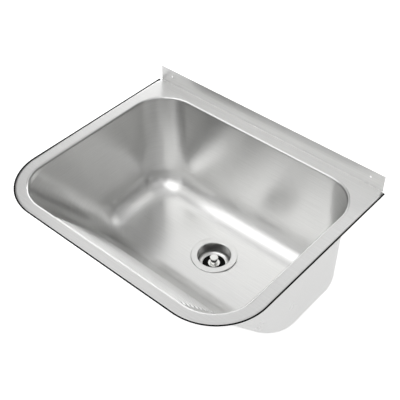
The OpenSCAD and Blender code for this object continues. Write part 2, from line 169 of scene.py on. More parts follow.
bowl = {
    "sideDeck": 20.0,         # deck left beside the opening
    "rearDeck": 26.0,
    "frontDeck": 17.0,
    "corner": 88.0,           # opening's corner radius
    "drawRadius": 5.0,        # where the deck turns down
    "draft": 1.0,             # degrees
    "floorRadius": 58.0,
    "slope": 51.0,            # front wall, degrees above the horizontal
    "slopeStart": 14.0,
    "wasteSetback": 162.0,
    "wasteHole": 44.5,
    "cornerSteps": 20,
    "rearSteps": 24,
    "sideSteps": 18,
    "edgeSteps": 8,           # down the draw radius
    "neckSteps": 3,           # from there to where the front starts to slope
    "gapSteps": 7,            # from the last rib to the floor round
    "roundSteps": 22,         # round into the floor
    "floorRows": 12,
    "brushRow": 12,           # wall row and side wall column that the grain is measured on
    "brushColumn": 5,
}
ribs = {
    "count": 9,
    "pitch": 18.4,
    "height": 3.0,
    "length": 344.0,
    "fade": 7.0,
    "first": 30.0,            # down the slope from its top
    "width": 7.6,
    "fullness": 3.8,          # 2 is a plain half-round; more makes steeper flanks
    "stepsAcross": 12,
    "foot": 0.5,              # row of plain slope beside each bead
    "plainSteps": 5,          # rows above the first bead
    "middleSteps": 17,        # columns from the middle to where the beads fade
    "fadeSteps": 11,
    "fadeMargin": 1.0,
    "tailSteps": 4,           # columns from there to the corner
}


def bowlInsets(z):
    # How far the side walls and the front wall stand in from the opening's edge at depth z:
    # a quarter round, then a straight wall or slope, then the round into the floor
    r, fr = bowl["drawRadius"], bowl["floorRadius"]
    draft, slope = math.radians(bowl["draft"]), math.radians(bowl["slope"])
    wallFoot = fr * (1 - math.sin(draft)) - bowlDepth
    slopeFoot = fr * (1 - math.cos(slope)) - bowlDepth
    edge = np.sqrt(np.maximum(r**2 - (r + np.maximum(z, -r))**2, 0))
    turned = fr * np.sin(np.arccos(np.clip(1 - (z + bowlDepth) / fr, -1, 1)))
    footInset = r + (-wallFoot - r) * math.tan(draft)
    wall = np.where(z > wallFoot, r + (-z - r) * math.tan(draft),
                    footInset + fr * math.cos(draft) - turned)
    slopeInset = r + (-slopeFoot - bowl["slopeStart"]) / math.tan(slope)
    frontWall = np.where(z > -bowl["slopeStart"], r,
                         np.where(z > slopeFoot, r + (-z - bowl["slopeStart"]) / math.tan(slope),
                                  slopeInset + fr * math.sin(slope) - turned))
    return np.where(z > -r, edge, wall), np.where(z > -r, edge, frontWall)


def ribRise(x, z):
    # Pressed beads: rise = height * (1 - (distance from the middle / half width)^f)^(1/f), where
    # f is the fullness, each fading smoothly to nothing at its two ends
    slope = math.radians(bowl["slope"])
    step = ((-z - bowl["slopeStart"]) / math.sin(slope) - ribs["first"]) / ribs["pitch"]
    inside = (step > -0.5) & (step < ribs["count"] - 0.5)
    across = np.abs(step - np.round(step)) * ribs["pitch"] / (ribs["width"] / 2)
    full = ribs["fullness"]
    ridge = np.where(inside, ribs["height"] * np.maximum(1 - across**full, 0)**(1 / full), 0)
    end = np.clip((ribs["length"] / 2 - np.abs(x)) / ribs["fade"], 0, 1)
    return ridge * end * end * (3 - 2 * end) / math.sin(slope)


def bowlDepths():
    # Heights of the wall rows: edge round, straight, ribs, lower wall, floor round
    slope = math.radians(bowl["slope"])
    turn = np.linspace(0, math.pi / 2, bowl["edgeSteps"] + 1)
    edge = bowl["drawRadius"] * (np.cos(turn) - 1)
    plain = np.linspace(0, ribs["first"] - ribs["pitch"] / 2, ribs["plainSteps"] + 1)
    half = ribs["width"] / 2
    turn = np.linspace(-math.pi / 2, math.pi / 2, ribs["stepsAcross"] + 1)
    bead = np.concatenate([[-half - ribs["foot"]], half * np.sin(turn), [half + ribs["foot"]]])
    middles = ribs["first"] + ribs["pitch"] * np.arange(ribs["count"])
    down = np.concatenate([plain, (middles[:, None] + bead).ravel()])
    sloped = -bowl["slopeStart"] - down * math.sin(slope)
    turn = np.linspace(math.radians(90 - bowl["draft"]), 0, bowl["roundSteps"] + 1)
    floorRound = bowl["floorRadius"] * (1 - np.cos(turn)) - bowlDepth
    neck = inBetween(edge[-1], sloped[0], bowl["neckSteps"])
    gap = inBetween(sloped[-1], floorRound[0], bowl["gapSteps"])
    return np.concatenate([edge, neck, sloped, gap, floorRound])


def frontColumns():
    # Columns of the front straight, close together where the ribs fade out
    straight = deckHalf - bowl["sideDeck"] - bowl["corner"]
    ribEnd, margin = ribs["length"] / 2, ribs["fadeMargin"]
    fadeOut = np.linspace(ribEnd - ribs["fade"] - margin, ribEnd + margin, ribs["fadeSteps"] + 1)
    middle = np.linspace(0, fadeOut[0], ribs["middleSteps"] + 1)[:-1]
    tail = inBetween(fadeOut[-1], straight, ribs["tailSteps"])
    right = np.concatenate([middle, fadeOut, tail])
    return np.concatenate([-right[:0:-1], right])[None, :]


def openingLoop(z):
    # The bowl's inside outline at each height z, as columns x and y
    wall, frontWall = bowlInsets(z)
    column = z[:, None]
    wall, frontWall = wall[:, None], frontWall[:, None]
    x, y = roundedLoop(deckHalf - bowl["sideDeck"] - wall, -bowl["rearDeck"] - wall,
                       bowl["frontDeck"] - tub["deckDepth"] + frontWall, bowl["corner"] - wall,
                       frontColumns(), bowl["cornerSteps"], bowl["rearSteps"], bowl["sideSteps"])
    straight = frontColumns().shape[1]
    y[:, :straight] += ribRise(x[:, :straight], column)
    return x, y


def makeBowl(inside, outside):
    # Rows of outlines down the walls, then rows that close in on the waste hole
    z = bowlDepths()
    x, y = openingLoop(z)
    centreY = -bowl["wasteSetback"]
    angle = np.arctan2(y[-1] - centreY, x[-1])
    holeX = bowl["wasteHole"] * np.cos(angle)
    holeY = centreY + bowl["wasteHole"] * np.sin(angle)
    t = np.linspace(0, 1, bowl["floorRows"] + 1)[1:, None]
    floorX = x[-1] + (holeX - x[-1]) * t
    floorY = y[-1] + (holeY - y[-1]) * t
    allX, allY = np.concatenate([x, floorX]), np.concatenate([y, floorY])
    allZ = np.concatenate([z, np.full(len(t), -bowlDepth)])[:, None]
    points = place(allX, allY, allZ)
    # Brush coordinates: round the walls and down them, but straight along x on the floor
    ringed = np.concatenate([points, points[:, :1]], 1) / mm
    side = bowl["cornerSteps"] + frontColumns().shape[1] + bowl["brushColumn"]
    girth = runningLength(ringed[bowl["brushRow"]])
    drop = runningLength(ringed[:, side])
    walls = np.stack(np.broadcast_arrays(girth[None, :], drop[:, None]), -1)
    flat = ringed[..., :2]
    brush = np.concatenate([cellCorners(walls)[:len(z) - 1], cellCorners(flat)[len(z) - 1:]])
    piece = gridPiece("pressedBowl", points, closedAcross=True, brush=brush)
    piece.data.materials.append(inside)
    shell = thickenSheet(piece)
    shell.material_offset = 1
    shell.material_offset_rim = 0
    finishPiece(piece, "tub", outside, ["bowl"])
    print("bowl: rows", len(allZ), "columns", allX.shape[1])


def outlinePoints():
    # The flat deck's outline with the opening's columns: round front corners, square rear ones
    half, depth, r = deckHalf, tub["deckDepth"], tub["deckCorner"]
    steps = bowl["cornerSteps"]
    turn = np.linspace(0, math.pi / 2, steps + 1)[None, :]
    square = bowl["sideDeck"] + bowl["corner"]
    reach = square / np.maximum(np.cos(turn), np.sin(turn))
    rear = -tub["bend"]
    cx, cy = half - square, rear - square
    column = np.zeros((1, 1))
    x, y = roundedLoop(column + half, column + rear, column - depth, column + r,
                       frontColumns() * (half - r) / frontColumns().max(),
                       steps, bowl["rearSteps"], bowl["sideSteps"])
    front = frontColumns().shape[1]
    right = front + steps + 1
    rearRight = right + bowl["sideSteps"] - 1
    rearRow = rearRight + steps + 1
    rearLeft = rearRow + bowl["rearSteps"] - 1
    left = rearLeft + steps + 1
    along = inBetween(0, 1, bowl["sideSteps"])[None, :]
    across = inBetween(1, -1, bowl["rearSteps"])[None, :]
    x[:, rearRight:rearRow] = cx + reach * np.cos(turn)
    y[:, rearRight:rearRow] = cy + reach * np.sin(turn)
    x[:, rearLeft:left] = -cx - reach * np.sin(turn)
    y[:, rearLeft:left] = cy + reach * np.cos(turn)
    y[:, right:rearRight] = (r - depth) + (cy - r + depth) * along
    y[:, left:left + bowl["sideSteps"] - 1] = cy - (cy - r + depth) * along
    x[:, rearRow:rearLeft] = cx * across
    corner = steps // 2
    return x[0], y[0], rearRight + corner, rearLeft + steps - corner


def outwards(x, y):
    # Unit direction out of the flat deck: away from the nearest point of its inner rectangle
    r = tub["deckCorner"]
    inner = deckHalf - r
    dx = x - np.clip(x, -inner, inner)
    dy = np.minimum(y - (r - tub["deckDepth"]), 0)
    size = np.hypot(dx, dy)
    return dx / size, dy / size


def makeDeck(top):
    # Flat rows from the opening to the outline, then the lip: an arc that falls as it goes out
    x0, y0 = openingLoop(np.zeros(1))
    x1, y1, firstRear, lastRear = outlinePoints()
    t = np.array(tub["deckRows"])[:, None]
    x, y = x0 + (x1 - x0) * t, y0 + (y1 - y0) * t
    flat = place(x, y, 0 * x)
    loop = np.concatenate([flat, flat[:, :1]], 1)
    deck = gridPiece("deckSheet", flat[::-1], closedAcross=True,
                     brush=cellCorners(loop[::-1, :, :2] / mm))
    order = np.concatenate([np.arange(lastRear, len(x1)), np.arange(0, firstRear + 1)])
    px, py = x1[order], y1[order]
    dx, dy = outwards(px, py)
    out = np.linspace(0, 1, tub["lipSteps"] + 1)[:, None] * tub["lipWidth"]
    radius = (tub["lipWidth"]**2 + tub["lipDrop"]**2) / (2 * tub["lipDrop"])
    fall = np.sqrt(radius**2 - out**2) - radius
    lip = place(px + dx * out, py + dy * out, fall + 0 * px)
    strip = gridPiece("lip", lip[::-1], brush=cellCorners(lip[::-1, :, :2] / mm))
    joinInto(deck, strip)
    closeSeams(deck, turnOutwards=False)
    thickenSheet(deck)
    finishPiece(deck, "tub", top, ["deck"])
    print("deck and lip")


def joinInto(kept, added):
    bpy.ops.object.select_all(action="DESELECT")
    kept.select_set(True)
    added.select_set(True)
    bpy.context.view_layer.objects.active = kept
    bpy.ops.object.join()


seal = {
    "bead": 2.9,
    "rise": 0.3,              # the bead sits a little above the lip's middle
    "tongueWidth": 3.0,
    "tongue": 0.6,
    "tongueEdge": 0.2,
    "endGap": 4.0,
    "beadSteps": 25,
    "capSteps": 7,
    "cornerSteps": 40,
    "straightSteps": 30,
}


def makeEdgeSeal(rubber):
    # A keyhole section, a round bead with a flat tongue, carried round three sides of the lip.
    # At each end the section shrinks as the sine of an angle that runs on, which rounds it off.
    r = seal["bead"] / 2
    beadX = tub["lipWidth"] + r
    beadZ = -tub["lipDrop"] - tub["sheet"] / 2 + seal["rise"]
    tongueTop = -tub["lipDrop"] - tub["sheet"]
    tongueFoot = tongueTop - seal["tongue"]
    start = math.pi + math.asin((beadZ - tongueTop) / r)
    end = -math.pi + math.asin((beadZ - tongueFoot) / r)
    turn = np.linspace(start, end, seal["beadSteps"] + 1)
    inner, soft = tub["lipWidth"] - seal["tongueWidth"], seal["tongueEdge"]
    tongueX = np.array([inner + soft, inner, inner])
    tongueZ = np.array([tongueFoot, tongueFoot + soft, tongueTop])
    sectionX = np.concatenate([r * np.cos(turn), tongueX - beadX])
    sectionZ = np.concatenate([r * np.sin(turn), tongueZ - beadZ])
    corner, half, depth = tub["deckCorner"], deckHalf, tub["deckDepth"]
    arc = np.linspace(0, math.pi / 2, seal["cornerSteps"] + 1)
    side = np.linspace(-seal["endGap"], corner - depth, seal["straightSteps"] + 1)[:-1]
    across = inBetween(corner - half, half - corner, seal["straightSteps"])
    px = np.concatenate([0 * side - half, corner - half - corner * np.cos(arc), across,
                         half - corner + corner * np.sin(arc), 0 * side + half])
    py = np.concatenate([side, corner - depth - corner * np.sin(arc), 0 * across - depth,
                         corner - depth - corner * np.cos(arc), side[::-1]])
    dx, dy = outwards(px, py)
    cap = np.linspace(0, math.pi / 2, seal["capSteps"] + 1)
    size = np.concatenate([np.sin(cap)[:-1], np.ones(len(px)), np.cos(cap)[1:]])
    run = np.concatenate([r * np.cos(cap)[:-1], np.zeros(len(px)), r * np.sin(cap)[1:]])
    px, py, dx, dy = (np.pad(v, seal["capSteps"], mode="edge") for v in (px, py, dx, dy))
    reach = beadX + sectionX[None, :] * size[:, None]
    points = place(px[:, None] + dx[:, None] * reach, (py + run)[:, None] + dy[:, None] * reach,
                   beadZ + sectionZ[None, :] * size[:, None])
    piece = gridPiece("edgeBead", points, closedAcross=True)
    closeSeams(piece)
    finishPiece(piece, "tub", rubber, ["edge_seal"])
    print("edge seal")


def softened(points, radius, steps=5, share=0.45):
    # Rounds each corner of a closed outline with a short curve that leans on the corner and
    # takes up no more than this share of either side
    p = np.array(points, float)
    before, after = np.roll(p, 1, 0) - p, np.roll(p, -1, 0) - p
    lengthBefore = np.linalg.norm(before, axis=1, keepdims=True)
    lengthAfter = np.linalg.norm(after, axis=1, keepdims=True)
    reach = np.minimum(radius, share * np.minimum(lengthBefore, lengthAfter))
    a, b = p + before / lengthBefore * reach, p + after / lengthAfter * reach
    t = np.linspace(0, 1, steps + 1)[None, :, None]
    curve = (1 - t)**2 * a[:, None] + 2 * t * (1 - t) * p[:, None] + t**2 * b[:, None]
    return curve.reshape(-1, 2)


def quarter(centreR, centreZ, radius, a, b, steps):
    # Points of an arc in the radius-height plane, from angle a to angle b in degrees
    t = np.radians(np.linspace(a, b, steps + 1))
    return np.stack([centreR + radius * np.cos(t), centreZ + radius * np.sin(t)], -1).tolist()


def turnedPiece(name, section, body, finish, stands, columns=128, grow=None):
    # A closed section carried round the waste's axis. grow adds to the radius by angle.
    section = np.array(section, float)
    angle = np.linspace(0, 2 * math.pi, columns, endpoint=False)[None, :]
    radius = np.maximum(section[:, :1], 0) + 0 * angle
    if grow is not None:
        radius = radius + grow(section, angle)
    points = place(radius * np.cos(angle), radius * np.sin(angle) - bowl["wasteSetback"],
                   section[:, 1:] - bowlDepth)
    piece = gridPiece(name, points, closedAcross=True, closedDown=True)
    closeSeams(piece)
    keepFlats(piece)
    finishPiece(piece, body, finish, stands)


waste = {
    "flange": 53.5,           # radii from here, where no height is named
    "flangeThickness": 1.4,
    "flangeSkirt": 0.7,
    "gasket": 1.0,
    "mouth": 38.0,
    "mouthRound": 2.5,
    "mouthFlat": 1.0,
    "cupRound": 9.0,
    "cupRoundFrom": -35.0,    # degrees, where the thread ends on the outside
    "cupTaper": 0.6,
    "cupThread": 41.0,
    "neckThread": 24.0,
    "neckBore": 20.5,
    "neckFillet": 2.0,
    "neckFilletDrop": 1.0,
    "pocket": 22.0,
    "pocketEdge": 0.5,
    "pitch": 2.0,
    "threadDepth": 0.8,
    "cupWall": 2.0,
    "stopperLift": 0.3,       # rubber above its seat at rest
    "strainerDrop": 9.0,
    "strainer": 1.5,
    "underGasket": 3.0,
    "friction": 1.0,
    "lockNut": 52.0,
    "lockNutHeight": 12.0,
    "coupling": 28.5,
    "couplingGrip": 12.0,
    "couplingWeb": 3.0,
    "tail": 19.0,
    "tailWall": 1.5,
    "tailWasher": 2.5,
    "tailFlange": 2.0,
    "tailFlangeInset": 1.0,
    "tailRootStep": 0.8,      # the tube is wider where the nut holds it
    "tailRootBelow": 1.5,
    "tailRootTaper": 1.5,
    "threadGap": 0.1,
    "gasketGap": 0.5,
    "tailWasherGap": 0.05,
    "lockLugs": (8, 10.0, 4.0),       # count, width and reach, and so below
    "couplingLugs": (6, 8.0, 3.0),
    "lugFlank": 0.35,
    "lugMargin": 0.05,
    "lugTop": 0.6,            # bare rim above the lock nut's lugs
    "nutEdge": 1.0,
}
floorTop = deckTop - bowlDepth
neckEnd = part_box("tailpiece_washer")[1].z / mm - floorTop
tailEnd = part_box("tailpiece")[0].z / mm - floorTop
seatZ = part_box("stopper_disc")[0].z / mm - floorTop - waste["stopperLift"]
gasketFoot = -tub["sheet"] - waste["underGasket"]
lockTop = gasketFoot - waste["friction"]
lockFoot = lockTop - waste["lockNutHeight"]
webTop = neckEnd - waste["tailWasher"] - waste["tailFlange"]
webFoot = webTop - waste["couplingWeb"]
tailRoot = waste["tail"] + waste["tailRootStep"]


def threadCut(radius, top, foot):
    # Rounded zigzag down a threaded outside
    turns = int((top - foot) / waste["pitch"])
    z = top - np.arange(2 * turns) * waste["pitch"] / 2
    r = radius - waste["threadDepth"] * (np.arange(2 * turns) % 2)
    return np.stack([r, z], -1).tolist()


def makeWaste(finish):
    # Section of the cup: bore, pocket, seat, rounded bottom, mouth, flange, threads
    gasket, thick, skirt = waste["gasket"], waste["flangeThickness"], waste["flangeSkirt"]
    flange, mouth, mouthRound = waste["flange"], waste["mouth"], waste["mouthRound"]
    cupRound, wall, thread = waste["cupRound"], waste["cupWall"], waste["cupThread"]
    neck, pocket, edge = waste["neckThread"], waste["pocket"], waste["pocketEdge"]
    seatR = mouth - cupRound - waste["cupTaper"]
    top = gasket + thick
    plate = seatZ - waste["strainerDrop"] - waste["strainer"]
    threadFoot = seatZ + cupRound / 2
    section = [[waste["neckBore"], neckEnd], [waste["neckBore"], plate], [pocket, plate]]
    section += [[pocket, seatZ - edge], [pocket + edge, seatZ]]
    section += quarter(seatR, cupRound + seatZ, cupRound, -90, 0, steps=14)
    section += quarter(mouth + mouthRound, top - mouthRound, mouthRound, 180, 90, steps=10)
    section += [[mouth + mouthRound + waste["mouthFlat"], top]]
    section += quarter(flange - thick, gasket, thick, 90, 0, steps=8)
    section += [[flange, gasket / 2], [flange - skirt, gasket / 2]]
    section += [[flange - skirt, gasket], [thread, gasket]]
    section += threadCut(thread, -tub["sheet"], threadFoot)
    section += [[thread - waste["threadDepth"], threadFoot]]
    section += quarter(seatR, seatZ + cupRound, cupRound + wall, waste["cupRoundFrom"], -90, steps=8)
    section += [[neck + waste["neckFillet"], seatZ - wall]]
    section += [[neck, seatZ - wall - waste["neckFilletDrop"]]]
    section += threadCut(neck, seatZ - 2 * wall, neckEnd)
    section += [[neck - waste["threadDepth"], neckEnd]]
    turnedPiece("wasteCup", section, "tub", finish, ["waste_body"], columns=160)
    print("waste")


def flatRing(name, outer, inner, low, high, soft, body, finish, stands):
    section = softened([[inner, low], [outer, low], [outer, high], [inner, high]], soft)
    turnedPiece(name, section, body, finish, stands)


rimBand = 1.0                 # a section's points this near its rim, or this far out, can grow


def lugs(pattern, rimRadius, low, high):
    # Radius added by angle: flat-topped teeth with soft flanks, only on the rim of the section.
    # The pattern is the teeth's count, width and reach.
    count, width, reach = pattern

    def grow(section, angle):
        phase = (angle * count / (2 * math.pi) + 0.5) % 1 - 0.5
        arc = np.abs(phase) * 2 * math.pi / count * (rimRadius + reach / 2)
        tooth = 1 / (1 + np.exp((arc - width / 2) / waste["lugFlank"]))
        atHeight = (section[:, 1:] > low) & (section[:, 1:] < high)
        onRim = (section[:, :1] > rimRadius - rimBand) & atHeight
        return reach * tooth * onRim
    return grow


def makeGaskets(rubber, fibre):
    # One ring above the floor, and a rubber and a fibre one below it
    rim, inner = waste["lockNut"], waste["cupThread"] + waste["gasketGap"]
    flatRing("flangeGasket", waste["flange"] - waste["flangeThickness"], bowl["wasteHole"], 0.0,
             waste["gasket"], 0.3, "tub", rubber, ["top_gasket"])
    flatRing("floorGasket", rim, inner, gasketFoot, -tub["sheet"], 0.8, "tub", rubber,
             ["under_gasket"])
    flatRing("fibreWasher", rim, inner, lockTop, gasketFoot, 0.2, "tub", fibre,
             ["friction_washer"])
    print("gaskets and washer")


def makeLockNut(plastic):
    bore = waste["cupThread"] + waste["threadGap"]
    rim, edge = waste["lockNut"], waste["nutEdge"]
    section = softened([[bore, lockFoot], [rim, lockFoot], [rim, lockTop - edge],
                        [rim - edge, lockTop], [bore, lockTop]], 0.8)
    teeth = lugs(waste["lockLugs"], rim, lockFoot + waste["lugMargin"], lockTop - waste["lugTop"])
    turnedPiece("lockNutRing", section, "tub", plastic, ["lock_nut"],
                columns=480, grow=teeth)
    print("lock nut")


def makeCouplingNut(plastic):
    hole, bore = tailRoot + waste["threadGap"], waste["neckThread"] + waste["threadGap"]
    rim, top = waste["coupling"], neckEnd + waste["couplingGrip"]
    section = softened([[hole, webFoot], [rim, webFoot], [rim, top], [bore, top],
                        [bore, webTop], [hole, webTop]], 0.8)
    teeth = lugs(waste["couplingLugs"], rim, webFoot + waste["lugMargin"], top - waste["lugMargin"])
    turnedPiece("couplingNutRing", section, "tub", plastic, ["coupling_nut"],
                columns=360, grow=teeth)
    print("coupling nut")


def makeTailpiece(rubber, steel):
    # The tube under its flange is wider where the nut holds it, then tapers to its own size
    flangeR = waste["neckThread"] - waste["tailFlangeInset"]
    flangeTop = webTop + waste["tailFlange"]
    tube = waste["tail"]
    bore, rootFoot = tube - waste["tailWall"], webFoot - waste["tailRootBelow"]
    flatRing("tailWasher", flangeR, tube + waste["tailWasherGap"], flangeTop, neckEnd, 0.4, "tub",
             rubber, ["tailpiece_washer"])
    section = softened([[bore, tailEnd], [tube, tailEnd], [tube, rootFoot - waste["tailRootTaper"]],
                        [tailRoot, rootFoot], [tailRoot, webTop], [flangeR, webTop],
                        [flangeR, flangeTop], [bore, flangeTop]], 0.6)
    turnedPiece("tailTube", section, "tub", steel, ["tailpiece"])
    print("tailpiece")


stopper = {
    "disc": 26.5,             # radii, where no height is named
    "discThickness": 4.0,
    "discFoot": (0.4, 0.8),   # chamfer at the foot: inset and height
    "discEdge": 0.6,
    "discBand": 2.6,          # flat band inside the rim
    "groove": (3.4, 3.0, 2.0),        # in from the rim, out from the ring, and its inner edge
    "grooveDepth": 0.5,
    "ring": 14.0,
    "ringThickness": 2.2,
    "ringRound": 0.8,
    "knobNeck": 8.0,
    "knobNeckEdge": 0.6,
    "knobFlare": (0.3, 1.5, 0.6),     # reach, and where it starts and ends below the head
    "knobHead": 9.7,
    "knobHeadRound": 1.2,
    "knobHeadHeight": 4.5,
    "knobHeight": 20.0,
    "knobDish": 0.1,
    "knobBore": 12.0,
    "stem": 4.0,
    "stemGap": 0.05,
    "stemPoint": (0.4, 1.0),  # chamfer at the lower end: inset and height
    "washer": 11.0,
    "washerThickness": 1.2,
    "nutFlats": 13.0,
    "nutHeight": 4.5,
    "nutRows": 0.25,          # between the rows of the nut's chamfers
    "nutChamfer": (1.02, 1.7),        # radius at the faces over the flats' own, and slope
}
stopperFoot = seatZ + waste["stopperLift"]
stopperTop = stopperFoot + stopper["discThickness"]
ringTop = stopperTop + stopper["ringThickness"]
boreTop = ringTop + stopper["knobBore"]
stemBore = stopper["stem"] + stopper["stemGap"]


def makeStopperDisc(rubber):
    # A rubber disc with a shallow groove inside its rim
    disc, ring, edge = stopper["disc"], stopper["ring"], stopper["discEdge"]
    footInset, footHeight = stopper["discFoot"]
    fromRim, fromRing, innerEdge = stopper["groove"]
    grooveZ = stopperTop - stopper["grooveDepth"]
    section = softened([[stemBore, stopperFoot], [disc - footInset, stopperFoot],
                        [disc, stopperFoot + footHeight], [disc, stopperTop - edge],
                        [disc - edge, stopperTop], [disc - stopper["discBand"], stopperTop],
                        [disc - fromRim, grooveZ], [ring + fromRing, grooveZ],
                        [ring + innerEdge, stopperTop], [stemBore, stopperTop]], 0.5)
    turnedPiece("rubberDisc", section, "stopper", rubber, ["stopper_disc"])
    print("stopper disc")


def makeKnob(steel):
    # A flat ring, then a neck that flares a little into a rounded head with a dished top
    ring, soft = stopper["ring"], stopper["ringRound"]
    section = [[stemBore, stopperTop], [ring, stopperTop]]
    section += quarter(ring - soft, ringTop - soft, soft, 0, 90, steps=6)
    section += [[stemBore, ringTop]]
    turnedPiece("knobRing", section, "stopper", steel, ["stopper_ring"])
    knobTop = stopperTop + stopper["knobHeight"]
    headFoot = knobTop - stopper["knobHeadHeight"]
    neck, edge, head = stopper["knobNeck"], stopper["knobNeckEdge"], stopper["knobHead"]
    soft, dish = stopper["knobHeadRound"], stopper["knobDish"]
    reach, start, end = stopper["knobFlare"]
    section = [[stemBore, ringTop], [neck - edge, ringTop], [neck, ringTop + edge]]
    section += [[neck, headFoot - start], [neck + reach, headFoot - end]]
    section += quarter(head - soft, headFoot + soft, soft, -90, 0, steps=8)
    section += quarter(head - soft, knobTop - soft, soft, 0, 90, steps=8)
    section += [[head - 2 * soft, knobTop - dish / 2], [0, knobTop - dish]]
    section += [[0, boreTop], [stemBore, boreTop]]
    turnedPiece("liftKnob", section, "stopper", steel, ["stopper_knob"])
    print("knob and ring")


def makeStem(steel):
    stem, (inset, height) = stopper["stem"], stopper["stemPoint"]
    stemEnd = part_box("stopper_stem")[0].z / mm - floorTop
    section = softened([[0, stemEnd], [stem - inset, stemEnd], [stem, stemEnd + height],
                        [stem, boreTop], [0, boreTop]], 0.4)
    turnedPiece("guideStem", section, "stopper", steel, ["stopper_stem"], columns=64)
    print("stem")


def makeClamp(steel):
    # The washer and hexagon nut that hold the disc to the stem
    nutTop = stopperFoot - stopper["washerThickness"]
    flatRing("clampWasher", stopper["washer"], stemBore, nutTop, stopperFoot, 0.2, "stopper",
             steel, ["stopper_washer"])
    height, half = stopper["nutHeight"], stopper["nutFlats"] / 2
    nutFoot = nutTop - height
    widest, slope = stopper["nutChamfer"]

    # Six flats: the radius is the flat's distance over the cosine to it, cut by the two chamfers
    def hexagon(section, angle):
        toFlat = (angle + math.pi / 6) % (math.pi / 3) - math.pi / 6
        edge = np.minimum(section[:, 1:] - nutFoot, nutTop - section[:, 1:])
        outside = np.minimum(half / np.cos(toFlat), half * widest + edge * slope)
        return np.where(section[:, :1] > stemBore + rimBand, outside - section[:, :1], 0)
    rows = stopper["nutRows"] * np.arange(4)
    levels = [*rows, *(height - rows[::-1])]
    section = [[stemBore, nutFoot]] + [[half, nutFoot + level] for level in levels]
    section += [[stemBore, nutTop]]
    turnedPiece("clampNut", section, "stopper", steel, ["stopper_nut"],
                columns=96, grow=hexagon)
    print("clamp washer and nut")


pads = {
    "width": 110.0,
    "depth": 120.0,
    "thickness": 3.0,
    "gap": 75.0,
    "corner": 8.0,
    "edge": 0.9,
    "edgeSteps": 8,
    "cornerSteps": 6,
    "rearSteps": 18,
    "sideSteps": 20,
    "frontColumns": 20,
    # Rows that close the two faces: their insets as shares of the half width
    "rings": (0.999, 0.85, 0.7, 0.55, 0.4, 0.25, 0.12),
}


def makePads(rubber):
    # A rounded rectangle that shrinks to nothing at top and bottom, with a rounded edge
    halfWidth, halfDepth, edge = pads["width"] / 2, pads["depth"] / 2, pads["edge"]
    turn = np.linspace(-math.pi / 2, math.pi / 2, pads["edgeSteps"] + 1)
    rise = edge * np.sin(turn) + np.where(turn > 0, 1, -1) * (pads["thickness"] / 2 - edge)
    rings = np.array(pads["rings"])
    inset = np.concatenate([halfWidth * rings, edge * (1 - np.cos(turn)), halfWidth * rings[::-1]])
    rise = np.pad(rise, len(rings), mode="edge")[:, None]
    scale = np.maximum(1 - inset[:, None] / halfWidth, 0)
    front = np.linspace(-1, 1, pads["frontColumns"])[None, :] * (halfWidth - pads["corner"])
    x, y = roundedLoop(scale * halfWidth, scale * halfDepth, -scale * halfDepth,
                       scale * pads["corner"], scale * front, pads["cornerSteps"],
                       pads["rearSteps"], pads["sideSteps"])
    z = -bowlDepth - tub["sheet"] - pads["thickness"] / 2 + rise
    for side, name in ((-1, "dampingPadLeft"), (1, "dampingPadRight")):
        centreX = side * (pads["gap"] + halfWidth)
        piece = gridPiece(name, place(x + centreX, y - bowl["wasteSetback"], z), closedAcross=True)
        closeSeams(piece)
        keepFlats(piece)
        finishPiece(piece, "tub", rubber, ["sound_pads"])
    print("pads")


def linear(hexColour):
    # sRGB hex to linear light
    parts = [int(hexColour[k:k + 2], 16) / 255 for k in (1, 3, 5)]
    return [c / 12.92 if c <= 0.04045 else ((c + 0.055) / 1.055)**2.4 for c in parts] + [1.0]


def addNode(tree, kind, settings=None, links=None):
    # One node, with plain settings or input values by name, and links from other sockets
    node = tree.nodes.new(kind)
    for key, value in (settings or {}).items():
        if isinstance(key, int) or key in node.inputs:
            node.inputs[key].default_value = value
        else:
            setattr(node, key, value)
    for key, socket in (links or {}).items():
        tree.links.new(socket, node.inputs[key])
    return node


def newFinish(name):
    finish = bpy.data.materials.new(name)
    finish.use_nodes = True
    finish.node_tree.nodes.clear()
    return finish, finish.node_tree


def output(tree, shader):
    addNode(tree, "ShaderNodeOutputMaterial", links={"Surface": shader.outputs[0]})


def objectSpace(tree):
    return addNode(tree, "ShaderNodeTexCoord").outputs["Object"]


def noiseOf(tree, size, detail, roughness=0.5):
    # Soft noise through the piece, its largest blots about size millimetres across
    return addNode(tree, "ShaderNodeTexNoise",
                   {"Scale": 1 / mm / size, "Detail": detail, "Roughness": roughness},
                   {"Vector": objectSpace(tree)}).outputs["Fac"]


def mixedTint(tree, first, second, factor):
    return addNode(tree, "ShaderNodeMix", {"data_type": "RGBA", 6: linear(first), 7: linear(second)},
                   {0: factor}).outputs[2]


def roughnessFrom(tree, settings, factor, lowest=0.0, highest=1.0):
    # Roughness that swings about its middle as the factor goes from lowest to highest
    middle, spread = settings["roughness"], settings["roughnessSpread"]
    return addNode(tree, "ShaderNodeMapRange",
                   {"From Min": lowest, "From Max": highest, "To Min": middle - spread,
                    "To Max": middle + spread}, {"Value": factor}).outputs[0]


def bumpFrom(tree, settings, factor):
    return addNode(tree, "ShaderNodeBump",
                   {"Strength": settings["bump"], "Distance": settings["bumpDepth"]},
                   {"Height": factor}).outputs[0]


def shaded(name, build, settings):
    # A finish whose shader inputs come from build: plain values first, then linked ones
    finish, tree = newFinish(name)
    values, links = build(tree, settings)
    output(tree, addNode(tree, "ShaderNodeBsdfPrincipled", values, links))
    return finish


